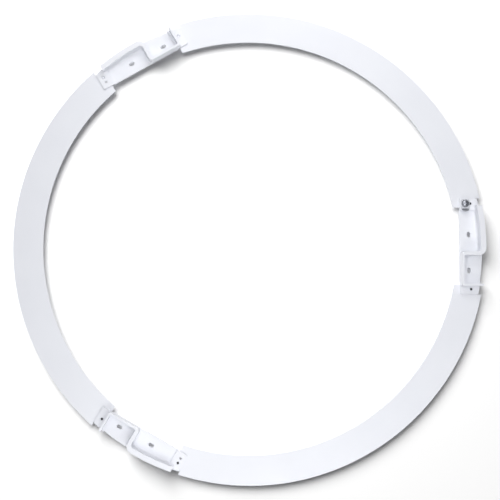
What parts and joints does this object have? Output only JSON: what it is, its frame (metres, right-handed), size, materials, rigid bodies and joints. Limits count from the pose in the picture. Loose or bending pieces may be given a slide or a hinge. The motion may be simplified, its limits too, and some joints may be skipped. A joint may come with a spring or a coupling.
{
  "type": "segmented mounting ring",
  "caption": "Flat round mounting ring of arc strips riveted to stepped brackets with screw slots, standing walls, pierced tabs and an earth terminal screw.",
  "frame": {"origin": "centre of the whole ring's box, on the mounting plane; the ring's own centre is 1.3 mm from it along +X", "axes": "+Z out of the mounting plane, towards the open side of the pockets; +X through the bracket with the earth terminal"},
  "size_m": [0.5974, 0.6, 0.0165],
  "materials": {
    "strip_powder_coat": "satin white powder coat on sheet steel",
    "bracket_paint": "satin white powder coat on a casting",
    "rivet_paint": "satin white paint on steel",
    "zinc_plate": "bright zinc plate"
  },
  "bodies": {
    "bracket_right_body": {"bracket_right": "bracket_paint", "rivet_right_two_hole_tab": "rivet_paint", "rivet_right_one_hole_tab": "rivet_paint"},
    "bracket_upper_left_body": {"bracket_upper_left": "bracket_paint", "rivet_upper_left_two_hole_tab": "rivet_paint", "rivet_upper_left_one_hole_tab": "rivet_paint"},
    "bracket_lower_left_body": {"bracket_lower_left": "bracket_paint", "rivet_lower_left_two_hole_tab": "rivet_paint", "rivet_lower_left_one_hole_tab": "rivet_paint"},
    "strip_upper_right_body": {"arc_strip_upper_right": "strip_powder_coat"},
    "strip_left_body": {"arc_strip_left": "strip_powder_coat"},
    "strip_lower_right_body": {"arc_strip_lower_right": "strip_powder_coat"},
    "terminal_washers_body": {"terminal_clamp_washer": "zinc_plate", "terminal_lock_washer": "zinc_plate"},
    "terminal_screw_body": {"terminal_screw": "zinc_plate"}
  },
  "joints": [
    {"name": "rivet_pivot_1", "type": "hinge", "parent": "bracket_right_body", "child": "strip_upper_right_body", "pos_m": [0.2816, 0.056, 0], "axis": [0, 0, 1], "range_deg": [-6, 6]},
    {"name": "rivet_pivot_2", "type": "hinge", "parent": "strip_upper_right_body", "child": "bracket_upper_left_body", "pos_m": [-0.09252, 0.2695, 0], "axis": [0, 0, 1], "range_deg": [-6, 6]},
    {"name": "rivet_pivot_3", "type": "hinge", "parent": "bracket_upper_left_body", "child": "strip_left_body", "pos_m": [-0.18735, 0.21475, 0], "axis": [0, 0, 1], "range_deg": [-6, 6]},
    {"name": "rivet_pivot_4", "type": "hinge", "parent": "strip_left_body", "child": "bracket_lower_left_body", "pos_m": [-0.18518, -0.216, 0], "axis": [0, 0, 1], "range_deg": [-6, 6]},
    {"name": "rivet_pivot_5", "type": "hinge", "parent": "bracket_lower_left_body", "child": "strip_lower_right_body", "pos_m": [-0.09035, -0.27075, 0], "axis": [0, 0, 1], "range_deg": [-6, 6]},
    {"name": "terminal_lift", "type": "slide", "parent": "bracket_right_body", "child": "terminal_washers_body", "axis": [0, 0, 1], "range_m": [0, 0.0014]},
    {"name": "terminal_turn", "type": "hinge", "parent": "terminal_washers_body", "child": "terminal_screw_body", "pos_m": [0.275, 0.056, 0.0056], "axis": [0, 0, 1], "range_deg": [0, 720]}
  ],
  "couplings": [
    {"joint": "rivet_pivot_2", "follows": "rivet_pivot_1", "ratio": -1},
    {"joint": "rivet_pivot_3", "follows": "rivet_pivot_1", "ratio": 1},
    {"joint": "rivet_pivot_4", "follows": "rivet_pivot_1", "ratio": -1},
    {"joint": "rivet_pivot_5", "follows": "rivet_pivot_1", "ratio": 1},
    {"joint": "terminal_turn", "follows": "terminal_lift", "rad_per_m": 8976}
  ]
}
